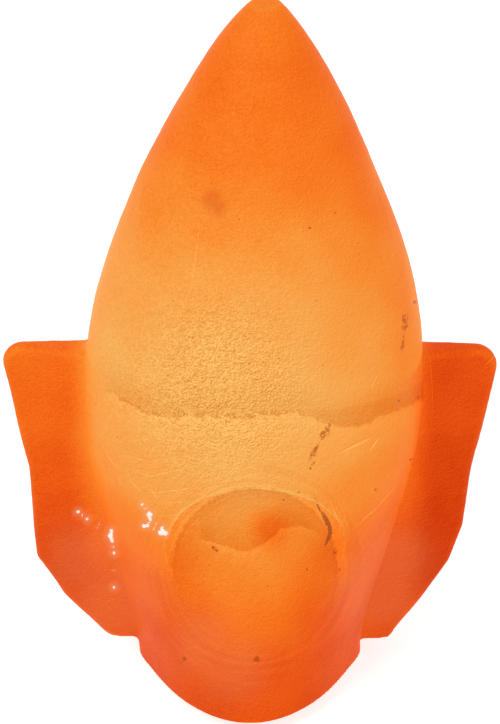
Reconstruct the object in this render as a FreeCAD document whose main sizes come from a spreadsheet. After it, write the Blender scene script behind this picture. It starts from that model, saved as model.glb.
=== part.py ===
"""Salt crystal lamp: a bud-shaped block of rock salt lit from inside.

The block is carved in one piece: a tall pointed bud with a blunt side petal on each side.
It is drilled from below.  A lampholder with spring clips is pushed up the bore and carries a
small pear bulb.  A wooden ring is let into the underside and screwed on, with a rubber pad under it.

Millimetres.  +Z is up, the front of the block looks along -Y, and the origin is on the table,
on the axis of the bore.
"""
import FreeCAD, Part
import math
import os
import sys

import Sketcher

doc = FreeCAD.newDocument("salt_crystal_lamp")
sheet = doc.addObject("Spreadsheet::Sheet", "sizes")

# ---------------------------------------------------------------- driving dimensions
DIMENSIONS = {
    # salt block: the bud, measured from the salt's own foot
    "foot_half_width": 37.0,        # half of the foot, side to side
    "foot_front": 46.5,             # the foot reaches further to the front, in a soft nose
    "foot_back": 37.0,
    "waist_height": 42.0,           # station between foot and belly
    "waist_half_width": 45.3,
    "waist_depth": 45.5,
    "belly_height": 107.0,          # widest station
    "belly_half_width": 56.2,
    "belly_depth": 49.0,
    "shoulder_height": 155.0,
    "shoulder_half_width": 48.8,
    "shoulder_depth": 43.0,
    "neck_height": 205.0,
    "neck_half_width": 29.6,
    "neck_depth": 27.0,
    "crown_height": 234.0,
    "crown_half_width": 14.4,
    "crown_depth": 13.6,
    "tip_height": 246.5,
    "tip_half_width": 5.2,
    "tip_depth": 5.2,
    "tip_lean": 5.0,                # the tip stands this far to the right of the foot
    # salt block: the ledge across the front
    "ledge_height": 118.7,          # at the front of the belly
    "ledge_rise": 22.0,             # degrees, the ledge climbs towards the front
    "ledge_step": 0.5,              # step all round
    "ledge_depth": 2.2,             # step at the front
    # salt block: the round hollow in the front
    "hollow_height": 63.0,
    "hollow_radius": 29.0,
    "hollow_offset": 1.6,
    "hollow_sink": 3.4,             # depth at the middle
    "hollow_tilt": 7.0,             # degrees, deeper at the top
    "dimple_height": 73.0,          # a second, smaller hollow inside the first
    "dimple_offset": -2.0,
    "dimple_radius": 22.0,
    "dimple_sink": 2.5,
    # salt block: the two side petals
    "petal_reach": 82.0,            # from the middle to the outer corner
    "petal_top": 112.0,
    "petal_side_reach": 73.5,       # four corners down the outer edge
    "petal_side_height": 65.8,
    "petal_heel_reach": 72.5,
    "petal_heel_height": 44.0,
    "petal_hip_reach": 71.3,
    "petal_hip_height": 31.0,
    "petal_knee_reach": 62.5,
    "petal_knee_height": 17.5,
    "petal_root_thickness": 19.0,
    "petal_foot_rise": 2.6,         # the petals start this far above the foot
    "petal_foot_reach": 47.5,
    "petal_edge_thickness": 6.0,
    "petal_corner": 7.0,
    "petal_dip": 2.0,               # the top edge falls this much towards the bud
    "petal_rounding": 2.4,
    "petal_left_back": 5.0,         # the left petal stands this far behind the middle
    "petal_left_lift": 4.4,
    "petal_right_back": 13.0,
    "petal_right_drop": 1.3,
    "petal_right_trim": 4.5,        # the right petal is this much slimmer low down
    # drilled in the salt
    "bore_radius": 21.0,
    "bore_depth": 107.0,            # straight part, then a round end
    "recess_depth": 5.0,
    # wooden ring, rubber pad and screws
    "ring_radius": 30.0,
    "ring_thickness": 8.0,
    "ring_edge": 1.0,
    "pad_thickness": 2.0,
    "pad_inset": 1.0,
    "screw_circle": 25.5,
    "screw_shank_radius": 1.6,
    "screw_head_radius": 3.0,
    "screw_length": 15.0,
    "screw_point": 3.0,
    "screw_count": 3,
    # cord inlet in the back
    "inlet_height": 14.0,           # above the salt's foot
    "inlet_radius": 4.5,
    "inlet_flange_radius": 6.8,
    "inlet_flange": 2.0,
    "inlet_groove": 0.8,
    "cord_hole_radius": 3.3,
    # lampholder
    "holder_height": 19.0,          # underside of the cap, above the salt's foot
    "cap_radius": 13.6,
    "cap_height": 17.0,
    "cap_taper": 5.0,
    "holder_wall": 1.7,
    "nipple_radius": 5.0,
    "nipple_length": 9.0,
    "nipple_flange_radius": 7.5,
    "nipple_flange": 2.0,
    "shell_radius": 13.0,
    "shell_height": 37.0,
    "shell_mouth_radius": 8.6,
    "shell_skirt": 4.0,             # the shell reaches this far down into the cap
    "block_height": 12.0,
    "block_foot": 5.0,              # the block hangs this far down into the cap
    "block_edge": 0.8,
    "socket_radius": 7.15,          # inside of the brass screw shell
    "socket_wall": 0.35,
    "socket_height": 20.0,
    "strip_width": 4.0,
    "strip_thickness": 0.5,
    "strip_reach": 6.0,
    "terminal_radius": 1.4,
    "terminal_head_radius": 1.8,
    "terminal_depth": 7.8,
    "terminal_reach": 8.2,
    "shade_ring_radius": 17.5,
    "shade_ring_height": 6.0,
    "shade_ring_drop": 4.0,         # below the top of the shell
    "shade_ring_notches": 20,
    "notch_radius": 1.1,
    "clip_collar_height": 7.0,
    "clip_thickness": 0.8,
    "clip_width": 7.0,
    "clip_rise": 17.0,
    "clip_elbow": 6.8,              # the leg touches the bore from here
    "clip_contact": 3.4,            # for this length
    "clip_count": 3,
    # bulb
    "bulb_cap_wall": 0.3,
    "bulb_cap_height": 21.0,
    "bulb_cap_taper": 1.7,
    "bulb_cap_eye": 4.2,            # hole in the end of the cap
    "bulb_tip_radius": 2.4,
    "bulb_tip_face": 1.4,
    "bulb_tip_height": 1.4,
    "bulb_radius": 13.0,
    "bulb_neck_radius": 6.2,
    "bulb_neck_length": 8.4,        # cemented inside the cap
    "bulb_shoulder": 16.0,          # from the cap to where the glass is full width
    "bulb_shoulder_arc": 25.6,
    "bulb_straight": 10.0,
    "glass_wall": 0.7,
    "stem_radius": 3.2,
    "stem_pinch": 2.0,              # radius of the stem's top
    "stem_height": 18.0,
    "lead_radius": 0.3,
    "lead_root": 1.6,
    "lead_spread": 5.0,
    "filament_rise": 8.0,
    "filament_radius": 0.35,
    # clearances
    "seat_gap": 0.1,                # between pieces that are fixed together
    "running_gap": 0.3,             # between pieces that move past each other
    "thread_gap": 0.15,
}


class Size:
    """A length with its number, to start a sketch from, and its formula, to bind it to the sheet."""

    def __init__(self, number, formula=None):
        self.number = float(number)
        self.formula = formula if formula else repr(float(number))

    def __add__(self, other):
        other = size(other)
        return Size(self.number + other.number, "(%s + %s)" % (self.formula, other.formula))

    def __sub__(self, other):
        other = size(other)
        return Size(self.number - other.number, "(%s - %s)" % (self.formula, other.formula))

    def __mul__(self, other):
        other = size(other)
        return Size(self.number * other.number, "(%s * %s)" % (self.formula, other.formula))

    def __truediv__(self, other):
        other = size(other)
        return Size(self.number / other.number, "(%s / %s)" % (self.formula, other.formula))

    def __neg__(self):
        return size(0) - self

    def __float__(self):
        return self.number


def size(value):
    return value if isinstance(value, Size) else Size(value)


class Sizes:
    """The rows of the sheet, by name."""


s = Sizes()
for row, (name, number) in enumerate(DIMENSIONS.items(), start=1):
    sheet.set("A%d" % row, name)
    sheet.set("B%d" % row, str(number))
    sheet.setAlias("B%d" % row, name)
    setattr(s, name, Size(number, "sizes." + name))
doc.recompute()

# heights of the main levels, from the table up
ring_bottom = s.pad_thickness
ring_top = ring_bottom + s.ring_thickness
salt_foot = ring_top - s.recess_depth
bore_end = salt_foot + s.bore_depth
cap_bottom = salt_foot + s.holder_height
cap_top = cap_bottom + s.cap_height
shell_top = cap_top + s.shell_height
block_bottom = cap_top - s.block_foot
block_top = block_bottom + s.block_height
socket_top = block_top + s.socket_height
bulb_cap_radius = s.socket_radius - s.thread_gap
bulb_bottom = block_top + s.strip_thickness + s.running_gap
bulb_cap_bottom = bulb_bottom + s.bulb_tip_height
bulb_cap_top = bulb_cap_bottom + s.bulb_cap_height
glass_full = bulb_cap_top + s.bulb_shoulder
glass_top = glass_full + s.bulb_straight + s.bulb_radius
stem_top = bulb_cap_top + s.stem_height
filament_level = stem_top + s.filament_rise


# ---------------------------------------------------------------- helpers
def bind(thing, **formulas):
    for prop, value in formulas.items():
        thing.setExpression(prop, size(value).formula)
    return thing


def new_body(label):
    return doc.addObject("PartDesign::Body", label)


def origin_part(body, role):
    return [item for item in body.Origin.OriginFeatures if item.Role == role][0]


def new_sketch(body, role, lift=None):
    sketch = body.newObject("Sketcher::SketchObject", "sketch")
    sketch.AttachmentSupport = [(origin_part(body, role), "")]
    sketch.MapMode = "FlatFace"
    if lift is not None:
        sketch.setExpression("AttachmentOffset.Base.z", size(lift).formula)
    return sketch


def arc_between(start, end, radius):
    """Arc of a signed radius: a positive one turns left on its way from start to end."""
    chord = end - start
    half = chord.Length / 2.0
    sagitta_leg = math.sqrt(max(radius * radius - half * half, 0.0))
    left = FreeCAD.Vector(-chord.y, chord.x, 0).normalize()
    centre = (start + end) / 2.0 + left * (sagitta_leg if radius > 0 else -sagitta_leg)
    circle = Part.Circle(centre, FreeCAD.Vector(0, 0, 1), abs(radius))
    first, last = (start, end) if radius > 0 else (end, start)
    return Part.ArcOfCircle(circle, circle.parameter(first), circle.parameter(last))


def draw_outline(sketch, corners):
    """Closed outline through corners (x, y) or (x, y, signed radius of the arc that ends there)."""
    points = [FreeCAD.Vector(float(c[0]), float(c[1]), 0) for c in corners]
    ends = []
    for index, corner in enumerate(corners):
        start, end = points[index - 1], points[index]
        if len(corner) == 3:
            radius = size(corner[2])
            geo = sketch.addGeometry(arc_between(start, end, radius.number), False)
            ends.append((geo, 1, 2) if radius.number > 0 else (geo, 2, 1))
            link = sketch.addConstraint(Sketcher.Constraint("Radius", geo, abs(radius.number)))
            formula = radius.formula if radius.number > 0 else (-radius).formula
            sketch.setExpression("Constraints[%d]" % link, formula)
        else:
            geo = sketch.addGeometry(Part.LineSegment(start, end), False)
            ends.append((geo, 1, 2))
    for index, corner in enumerate(corners):
        geo, _, last = ends[index]
        following, first, _ = ends[(index + 1) % len(corners)]
        sketch.addConstraint(Sketcher.Constraint("Coincident", geo, last, following, first))
        for kind, axis, value in (("DistanceX", -2, corner[0]), ("DistanceY", -1, corner[1])):
            value = size(value)
            if value.number == 0.0:
                sketch.addConstraint(Sketcher.Constraint("PointOnObject", geo, last, axis))
            else:
                link = sketch.addConstraint(
                    Sketcher.Constraint(kind, -1, 1, geo, last, value.number))
                sketch.setExpression("Constraints[%d]" % link, value.formula)
    return sketch


def draw_circle(sketch, x, y, radius):
    x, y, radius = size(x), size(y), size(radius)
    centre = FreeCAD.Vector(x.number, y.number, 0)
    geo = sketch.addGeometry(Part.Circle(centre, FreeCAD.Vector(0, 0, 1), radius.number), False)
    link = sketch.addConstraint(Sketcher.Constraint("Radius", geo, radius.number))
    sketch.setExpression("Constraints[%d]" % link, radius.formula)
    for kind, axis, value in (("DistanceX", -2, x), ("DistanceY", -1, y)):
        if value.number == 0.0:
            sketch.addConstraint(Sketcher.Constraint("PointOnObject", geo, 3, axis))
        else:
            link = sketch.addConstraint(Sketcher.Constraint(kind, -1, 1, geo, 3, value.number))
            sketch.setExpression("Constraints[%d]" % link, value.formula)
    return sketch


def turn(body, corners, kind="Revolution"):
    """Turn an outline of (radius, height) corners round the Z axis."""
    sketch = draw_outline(new_sketch(body, "XZ_Plane"), corners)
    feature = body.newObject("PartDesign::" + kind, kind.lower())
    feature.Profile = sketch
    feature.ReferenceAxis = (sketch, ["V_Axis"])
    feature.Angle = 360.0
    sketch.Visibility = False
    return feature


def pad(body, role, corners, length, lift=None, midplane=False):
    sketch = draw_outline(new_sketch(body, role, lift), corners)
    feature = body.newObject("PartDesign::Pad", "pad")
    feature.Profile = sketch
    feature.Midplane = midplane
    bind(feature, Length=length)
    return feature


def round_pocket(body, role, x, y, radius, length, lift=None, reverse=False, midplane=False):
    sketch = draw_circle(new_sketch(body, role, lift), x, y, radius)
    feature = body.newObject("PartDesign::Pocket", "pocket")
    feature.Profile = sketch
    feature.Reversed = reverse
    feature.Midplane = midplane
    bind(feature, Length=length)
    return feature


def repeat_round(body, features, count):
    pattern = body.newObject("PartDesign::PolarPattern", "pattern")
    pattern.Originals = features
    pattern.Axis = (origin_part(body, "Z_Axis"), [""])
    pattern.Angle = 360.0
    bind(pattern, Occurrences=count)
    body.Tip = pattern
    return pattern


def cylinder(name, radius, height, x=0, y=0, z=0, axis=None):
    tool = doc.addObject("Part::Cylinder", name)
    bind(tool, Radius=radius, Height=height)
    if axis is not None:
        tool.Placement.Rotation = FreeCAD.Rotation(FreeCAD.Vector(0, 0, 1), axis)
    for side, value in (("x", x), ("y", y), ("z", z)):
        tool.setExpression("Placement.Base." + side, size(value).formula)
    return tool


def combine(kind, name, *parts):
    """A cut or a plain fuse takes two solids; a multiple fuse takes any number."""
    result = doc.addObject("Part::" + kind, name)
    if kind == "MultiFuse":
        result.Shapes = list(parts)
    else:
        result.Base, result.Tool = parts
    return result


# ---------------------------------------------------------------- salt block: the bud
OUTLINE_POINTS = 16         # points on the outline of one level
NOSE_POWER = 0.65           # how sharply the front of the foot narrows to a nose
LEAN_POWER = 1.7            # the bud stands straight at the foot and leans more towards the tip


def bud_stations():
    """Height, half width, depth to the front and to the back, nose and lean of each level."""
    levels = (
        (size(0), s.foot_half_width, s.foot_front, s.foot_back, 1.0),
        (s.waist_height, s.waist_half_width, s.waist_depth, s.waist_depth, 0.55),
        (s.belly_height, s.belly_half_width, s.belly_depth, s.belly_depth, 0.0),
        (s.shoulder_height, s.shoulder_half_width, s.shoulder_depth, s.shoulder_depth, 0.0),
        (s.neck_height, s.neck_half_width, s.neck_depth, s.neck_depth, 0.0),
        (s.crown_height, s.crown_half_width, s.crown_depth, s.crown_depth, 0.0),
        (s.tip_height, s.tip_half_width, s.tip_depth, s.tip_depth, 0.0),
    )
    for height, half_width, front, back, nose in levels:
        lean = float(s.tip_lean) * float(height / s.tip_height) ** LEAN_POWER
        yield tuple(float(v) for v in (salt_foot + height, half_width, front, back, nose, lean))


def level_outline(height, half_width, front, back, nose, lean):
    """Closed smooth curve: half an ellipse behind, and in front an ellipse drawn out to a nose."""
    points = []
    for index in range(OUTLINE_POINTS):
        angle = 2.0 * math.pi * index / OUTLINE_POINTS + math.pi / 2.0
        across, along = math.cos(angle), math.sin(angle)
        depth = back * along
        if along < 0.0:
            depth = -front * abs(along) ** (1.0 + NOSE_POWER * nose)
        points.append(FreeCAD.Vector(lean + half_width * across, depth, height))
    curve = Part.BSplineCurve()
    steps = [index / OUTLINE_POINTS for index in range(OUTLINE_POINTS + 1)]
    curve.interpolate(Points=points, PeriodicFlag=True, Parameters=steps)
    return Part.Wire([curve.toShape()])


def bud(inset, front_inset):
    """The whole bud, drawn in by inset all round and by front_inset at the front of the belly."""
    belly = float(salt_foot + s.belly_height)
    wires = []
    for height, half_width, front, back, nose, lean in bud_stations():
        at_belly = abs(height - belly) < float(s.running_gap)
        drawn_in = front_inset if at_belly else inset
        wires.append(level_outline(height, half_width - inset, front - drawn_in, back - inset,
                                   nose, lean))
    return Part.makeLoft(wires, True, False)


def reach_box(bottom):
    """A block wider and taller than the salt, from a level upwards."""
    reach = 2.0 * float(s.tip_height)
    corner = FreeCAD.Vector(-reach, -reach, bottom)
    return Part.makeBox(2.0 * reach, 2.0 * reach, reach, corner)


def below_ledge():
    """Everything under the tilted plane of the ledge."""
    reach = 2.0 * float(s.tip_height)
    block = reach_box(-reach)
    front = FreeCAD.Vector(0, -float(s.belly_depth), float(salt_foot + s.ledge_height))
    tilt = FreeCAD.Rotation(FreeCAD.Vector(1, 0, 0), -float(s.ledge_rise))
    block.Placement = FreeCAD.Placement(front, tilt)
    return block


lower_cup = doc.addObject("Part::Feature", "lower_cup")
lower_cup.Shape = bud(0.0, 0.0).common(below_ledge())
upper_bud = doc.addObject("Part::Feature", "upper_bud")
upper_bud.Shape = bud(float(s.ledge_step), float(s.ledge_depth)).common(
    reach_box(float(salt_foot + s.waist_height)))


# ---------------------------------------------------------------- salt block: side petals
HEEL_TRIM = 0.25            # share of a petal's trim that is left at its heel


def petal(name, side, set_back, lift, trim):
    """A blade: its outline seen from the front, cut to its thickness seen from above."""
    top = salt_foot + s.petal_top + lift
    inner = s.screw_circle + s.screw_shank_radius / 2
    half_root = s.petal_root_thickness / 2
    half_edge = s.petal_edge_thickness / 2
    raised_foot = salt_foot + lift
    front_view = new_body(name + "_front_view")
    pad(front_view, "XZ_Plane", [
        (inner * side, raised_foot + s.petal_foot_rise),
        (s.petal_foot_reach * side, raised_foot + s.petal_foot_rise),
        ((s.petal_knee_reach - trim) * side, raised_foot + s.petal_knee_height),
        ((s.petal_hip_reach - trim) * side, raised_foot + s.petal_hip_height),
        ((s.petal_heel_reach - trim * HEEL_TRIM) * side, raised_foot + s.petal_heel_height),
        (s.petal_side_reach * side, raised_foot + s.petal_side_height),
        (s.petal_reach * side, top - s.petal_corner),
        ((s.petal_reach - s.petal_corner) * side, top, s.petal_corner * side),
        (inner * side, top - s.petal_dip),
    ], s.belly_depth * 2, midplane=True)
    top_view = new_body(name + "_top_view")
    pad(top_view, "XY_Plane", [
        (inner * side, set_back - half_root),
        (s.petal_reach * side, set_back - half_edge),
        (s.petal_reach * side, set_back + half_edge),
        (inner * side, set_back + half_root),
    ], top + s.petal_reach)
    blade = doc.addObject("Part::MultiCommon", name)
    blade.Shapes = [front_view, top_view]
    return blade


def round_over(blade, side):
    """Round the edges of a petal that lie outside the bud."""
    beyond = float(s.foot_half_width)
    radius = float(s.petal_rounding)
    rounded = doc.addObject("Part::Fillet", blade.Name + "_rounded")
    rounded.Base = blade
    rounded.Edges = [(index, radius, radius)
                     for index, edge in enumerate(blade.Shape.Edges, start=1)
                     if min(corner.X * side for corner in edge.Vertexes) > beyond]
    return rounded


petal_left = petal("petal_left", -1, s.petal_left_back, s.petal_left_lift, size(0))
petal_right = petal("petal_right", 1, s.petal_right_back, -s.petal_right_drop,
                    s.petal_right_trim)
doc.recompute()
petal_left_rounded = round_over(petal_left, -1)
petal_right_rounded = round_over(petal_right, 1)
# inside the block the roots of the petals stop short of the seat of the wooden ring
ring_room = cylinder("ring_room", s.ring_radius + s.ring_edge, ring_top + s.ring_edge)
petal_left_clear = combine("Cut", "petal_left_clear", petal_left_rounded, ring_room)
petal_right_clear = combine("Cut", "petal_right_clear", petal_right_rounded, ring_room)


# ---------------------------------------------------------------- salt block: hollow and drilling
def hollow_tool():
    """A round plug from the front that stops short of a floor parallel to the bud, but tilted."""
    height = float(salt_foot + s.hollow_height)
    reach = float(s.belly_depth) * 2.0
    plug = Part.makeCylinder(float(s.hollow_radius), reach,
                             FreeCAD.Vector(float(s.hollow_offset), 0, height),
                             FreeCAD.Vector(0, -1, 0))
    floor = bud(0.0, 0.0)
    middle = FreeCAD.Vector(0, -float(s.waist_depth), height)
    floor.rotate(middle, FreeCAD.Vector(1, 0, 0), -float(s.hollow_tilt))
    floor.translate(FreeCAD.Vector(0, float(s.hollow_sink), 0))
    return plug.cut(floor)


hollow = doc.addObject("Part::Feature", "hollow")
hollow.Shape = hollow_tool()
dimple = doc.addObject("Part::Sphere", "dimple")
bind(dimple, Radius=s.dimple_radius)
bind(dimple, **{
    "Placement.Base.x": s.dimple_offset,
    "Placement.Base.y": s.hollow_sink + s.dimple_sink - s.waist_depth - s.dimple_radius,
    "Placement.Base.z": salt_foot + s.dimple_height,
})

bore = new_body("bore")
turn(bore, [
    (0, 0),
    (s.bore_radius, 0),
    (s.bore_radius, bore_end),
    (0, bore_end + s.bore_radius, s.bore_radius),
])
recess = cylinder("recess", s.ring_radius, salt_foot + s.recess_depth)
inlet_level = salt_foot + s.inlet_height
inlet_face = s.foot_back - s.inlet_flange
inlet_hole = cylinder("inlet_hole", s.inlet_radius, s.foot_back * 2, z=inlet_level,
                      axis=FreeCAD.Vector(0, 1, 0))
inlet_spot = cylinder("inlet_spot", s.inlet_flange_radius + s.running_gap, s.foot_back,
                      y=inlet_face, z=inlet_level, axis=FreeCAD.Vector(0, 1, 0))

pilot_body = new_body("pilot_holes")
pilot_outline = draw_circle(new_sketch(pilot_body, "XY_Plane"), 0, -s.screw_circle,
                            s.screw_shank_radius)
pilot = pilot_body.newObject("PartDesign::Pad", "pilot")
pilot.Profile = pilot_outline
bind(pilot, Length=ring_bottom + s.screw_length)
repeat_round(pilot_body, [pilot], s.screw_count)

salt_tools = combine("MultiFuse", "salt_tools", bore, recess, inlet_hole, inlet_spot, pilot_body)
bud_ledged = combine("Fuse", "bud_ledged", lower_cup, upper_bud)
bud_hollowed = combine("Cut", "bud_hollowed", bud_ledged, hollow)
bud_dimpled = combine("Cut", "bud_dimpled", bud_hollowed, dimple)
bud_drilled = combine("Cut", "bud_drilled", bud_dimpled, salt_tools)
bud_one_petal = combine("Fuse", "bud_one_petal", bud_drilled, petal_right_clear)
salt_body = combine("Fuse", "salt_body", bud_one_petal, petal_left_clear)


# ---------------------------------------------------------------- wooden ring, pad, screws, inlet
ring_inner = s.bore_radius
ring_outer = s.ring_radius - s.seat_gap
sink_height = s.screw_head_radius - s.screw_shank_radius

base_ring = new_body("base_ring")
turn(base_ring, [
    (ring_inner, ring_bottom),
    (ring_outer - s.ring_edge, ring_bottom),
    (ring_outer, ring_bottom + s.ring_edge, s.ring_edge),
    (ring_outer, ring_top),
    (ring_inner, ring_top),
])
sink = base_ring.newObject("PartDesign::Groove", "countersink")
sink_sketch = draw_outline(new_sketch(base_ring, "YZ_Plane"), [
    (-s.screw_circle, ring_bottom - s.ring_edge),
    (-(s.screw_circle + s.screw_head_radius + s.seat_gap), ring_bottom - s.ring_edge),
    (-(s.screw_circle + s.screw_head_radius + s.seat_gap), ring_bottom),
    (-(s.screw_circle + s.screw_shank_radius + s.seat_gap), ring_bottom + sink_height),
    (-(s.screw_circle + s.screw_shank_radius + s.seat_gap), ring_top + s.ring_edge),
    (-s.screw_circle, ring_top + s.ring_edge),
])
sink.Profile = sink_sketch
sink.ReferenceAxis = (sink_sketch, ["Edge1"])
sink.Angle = 360.0
repeat_round(base_ring, [sink], s.screw_count)

foot_pad = new_body("foot_pad")
turn(foot_pad, [
    (ring_inner + s.pad_inset, 0),
    (ring_outer - s.ring_edge - s.pad_inset, 0),
    (ring_outer - s.ring_edge - s.pad_inset, ring_bottom),
    (ring_inner + s.pad_inset, ring_bottom),
])
access = round_pocket(foot_pad, "XY_Plane", 0, -s.screw_circle, s.screw_head_radius,
                      ring_bottom, reverse=True)
repeat_round(foot_pad, [access], s.screw_count)

base_screws = new_body("base_screws")
screw_profile = draw_outline(new_sketch(base_screws, "YZ_Plane"), [
    (-s.screw_circle, ring_bottom),
    (-(s.screw_circle + s.screw_head_radius), ring_bottom),
    (-(s.screw_circle + s.screw_shank_radius), ring_bottom + sink_height),
    (-(s.screw_circle + s.screw_shank_radius), ring_bottom + s.screw_length - s.screw_point),
    (-s.screw_circle, ring_bottom + s.screw_length),
])
screw = base_screws.newObject("PartDesign::Revolution", "screw")
screw.Profile = screw_profile
screw.ReferenceAxis = (screw_profile, ["Edge1"])
screw.Angle = 360.0
repeat_round(base_screws, [screw], s.screw_count)

cord_grommet = new_body("cord_grommet")
grommet_start = s.bore_radius + s.running_gap * 2
turn(cord_grommet, [
    (s.cord_hole_radius, grommet_start),
    (s.inlet_radius - s.seat_gap, grommet_start),
    (s.inlet_radius - s.seat_gap, inlet_face),
    (s.inlet_flange_radius, inlet_face),
    (s.inlet_flange_radius - s.inlet_groove, inlet_face + s.inlet_flange),
    (s.cord_hole_radius + s.inlet_groove, inlet_face + s.inlet_flange),
    (s.cord_hole_radius, inlet_face + s.inlet_flange - s.inlet_groove),
])
cord_grommet.Placement.Rotation = FreeCAD.Rotation(FreeCAD.Vector(1, 0, 0), -90)
bind(cord_grommet, **{"Placement.Base.z": inlet_level})


# ---------------------------------------------------------------- lampholder
cap_inner = s.cap_radius - s.holder_wall
shell_inner = cap_inner - s.holder_wall
cap_floor = s.cap_radius - s.cap_taper

holder_cap = new_body("holder_cap")
turn(holder_cap, [
    (s.nipple_radius + s.seat_gap, cap_bottom),
    (cap_floor, cap_bottom),
    (s.cap_radius, cap_bottom + s.cap_taper, s.cap_taper),
    (s.cap_radius, cap_top),
    (cap_inner, cap_top),
    (cap_inner, cap_bottom + s.cap_taper),
    (cap_floor, cap_bottom + s.holder_wall, -(s.cap_taper - s.holder_wall)),
    (s.nipple_radius + s.seat_gap, cap_bottom + s.holder_wall),
])

entry_nipple = new_body("entry_nipple")
hexagon = [(s.nipple_flange_radius * math.cos(math.radians(60 * k)),
            s.nipple_flange_radius * math.sin(math.radians(60 * k))) for k in range(6)]
pad(entry_nipple, "XY_Plane", hexagon, s.nipple_flange, lift=cap_bottom - s.nipple_flange)
turn(entry_nipple, [
    (s.cord_hole_radius, cap_bottom - s.nipple_flange),
    (s.nipple_radius, cap_bottom - s.nipple_flange),
    (s.nipple_radius, cap_bottom - s.nipple_flange + s.nipple_length),
    (s.cord_hole_radius, cap_bottom - s.nipple_flange + s.nipple_length),
])
round_pocket(entry_nipple, "XY_Plane", 0, 0, s.cord_hole_radius, s.nipple_length,
             lift=cap_bottom - s.nipple_flange, reverse=True)

holder_shell = new_body("holder_shell")
turn(holder_shell, [
    (shell_inner, cap_top - s.shell_skirt),
    (cap_inner - s.seat_gap, cap_top - s.shell_skirt),
    (cap_inner - s.seat_gap, cap_top),
    (s.shell_radius, cap_top),
    (s.shell_radius, shell_top - s.holder_wall),
    (s.shell_radius - s.holder_wall, shell_top, s.holder_wall),
    (s.shell_mouth_radius, shell_top),
    (s.shell_mouth_radius, shell_top - s.holder_wall),
    (shell_inner, shell_top - s.holder_wall),
])

insulator_block = new_body("insulator_block")
block_radius = shell_inner - s.seat_gap
turn(insulator_block, [
    (0, block_bottom),
    (block_radius, block_bottom),
    (block_radius, block_top - s.block_edge),
    (block_radius - s.block_edge, block_top),
    (0, block_top),
])
TERMINALS = 2       # live and neutral
screw_hole = round_pocket(insulator_block, "XY_Plane", s.terminal_reach, 0,
                          s.terminal_radius + s.seat_gap, s.terminal_depth + s.running_gap,
                          lift=block_bottom, reverse=True)
repeat_round(insulator_block, [screw_hole], TERMINALS)

terminal_screws = new_body("terminal_screws")
terminal_outline = draw_outline(new_sketch(terminal_screws, "XZ_Plane"), [
    (s.terminal_reach, block_bottom - s.terminal_radius),
    (s.terminal_reach + s.terminal_head_radius, block_bottom - s.terminal_radius),
    (s.terminal_reach + s.terminal_head_radius, block_bottom),
    (s.terminal_reach + s.terminal_radius, block_bottom),
    (s.terminal_reach + s.terminal_radius, block_bottom + s.terminal_depth),
    (s.terminal_reach, block_bottom + s.terminal_depth),
])
terminal = terminal_screws.newObject("PartDesign::Revolution", "terminal")
terminal.Profile = terminal_outline
terminal.ReferenceAxis = (terminal_outline, ["Edge1"])
terminal.Angle = 360.0
repeat_round(terminal_screws, [terminal], TERMINALS)

screw_shell = new_body("screw_shell")
socket_outer = s.socket_radius + s.socket_wall
turn(screw_shell, [
    (s.socket_radius, block_top),
    (block_radius - s.block_edge, block_top),
    (block_radius - s.block_edge, block_top + s.socket_wall),
    (socket_outer, block_top + s.socket_wall),
    (socket_outer, socket_top),
    (s.socket_radius, socket_top),
])

centre_contact = new_body("centre_contact")
half_strip = s.strip_width / 2
pad(centre_contact, "XY_Plane", [
    (-half_strip, -half_strip),
    (s.strip_reach, -half_strip),
    (s.strip_reach, half_strip),
    (-half_strip, half_strip),
], s.strip_thickness, lift=block_top)

shade_ring = new_body("shade_ring")
ring_seat = shell_top - s.shade_ring_drop - s.shade_ring_height
ring_step = (s.shade_ring_radius - s.shell_radius) / 2
turn(shade_ring, [
    (s.shell_radius + s.seat_gap, ring_seat),
    (s.shade_ring_radius, ring_seat),
    (s.shade_ring_radius, ring_seat + s.shade_ring_height / 2),
    (s.shell_radius + ring_step, ring_seat + s.shade_ring_height / 2),
    (s.shell_radius + ring_step, ring_seat + s.shade_ring_height),
    (s.shell_radius + s.seat_gap, ring_seat + s.shade_ring_height),
])
notch = round_pocket(shade_ring, "XY_Plane", s.shade_ring_radius, 0, s.notch_radius,
                     s.shade_ring_height, lift=ring_seat, reverse=True)
repeat_round(shade_ring, [notch], s.shade_ring_notches)

clip_spring = new_body("clip_spring")
collar_inner = s.shell_radius + s.seat_gap
collar_outer = collar_inner + s.clip_thickness
collar_bottom = cap_top + s.clip_collar_height / 2
turn(clip_spring, [
    (collar_inner, collar_bottom),
    (collar_outer, collar_bottom),
    (collar_outer, collar_bottom + s.clip_collar_height),
    (collar_inner, collar_bottom + s.clip_collar_height),
])
# a flat leg in a round bore touches at its two edges, so its middle stays this much further in
leg_bow = s.clip_width * s.clip_width / 8 / s.bore_radius
clip_reach = s.bore_radius - s.running_gap - leg_bow
clip_root = collar_bottom + s.clip_collar_height / 3
elbow_low = clip_root + s.clip_elbow
elbow_high = elbow_low + s.clip_contact
leg = pad(clip_spring, "XZ_Plane", [
    (collar_outer - s.clip_thickness / 2, clip_root),
    (collar_outer, clip_root),
    (clip_reach, elbow_low),
    (clip_reach, elbow_high),
    (collar_outer + s.clip_thickness * 2, clip_root + s.clip_rise),
    (collar_outer + s.clip_thickness, clip_root + s.clip_rise - s.clip_thickness / 2),
    (clip_reach - s.clip_thickness, elbow_high - s.clip_thickness / 2),
    (clip_reach - s.clip_thickness, elbow_low + s.clip_thickness / 2),
    (collar_outer - s.clip_thickness / 2, clip_root + s.clip_thickness * 3 / 2),
], s.clip_width, midplane=True)
repeat_round(clip_spring, [leg], s.clip_count)


# ---------------------------------------------------------------- bulb
bulb_cap_inner = bulb_cap_radius - s.bulb_cap_wall
bulb_cap_shoulder = bulb_cap_bottom + s.bulb_cap_taper
insulator_lip = s.bulb_cap_wall * 2

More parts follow.
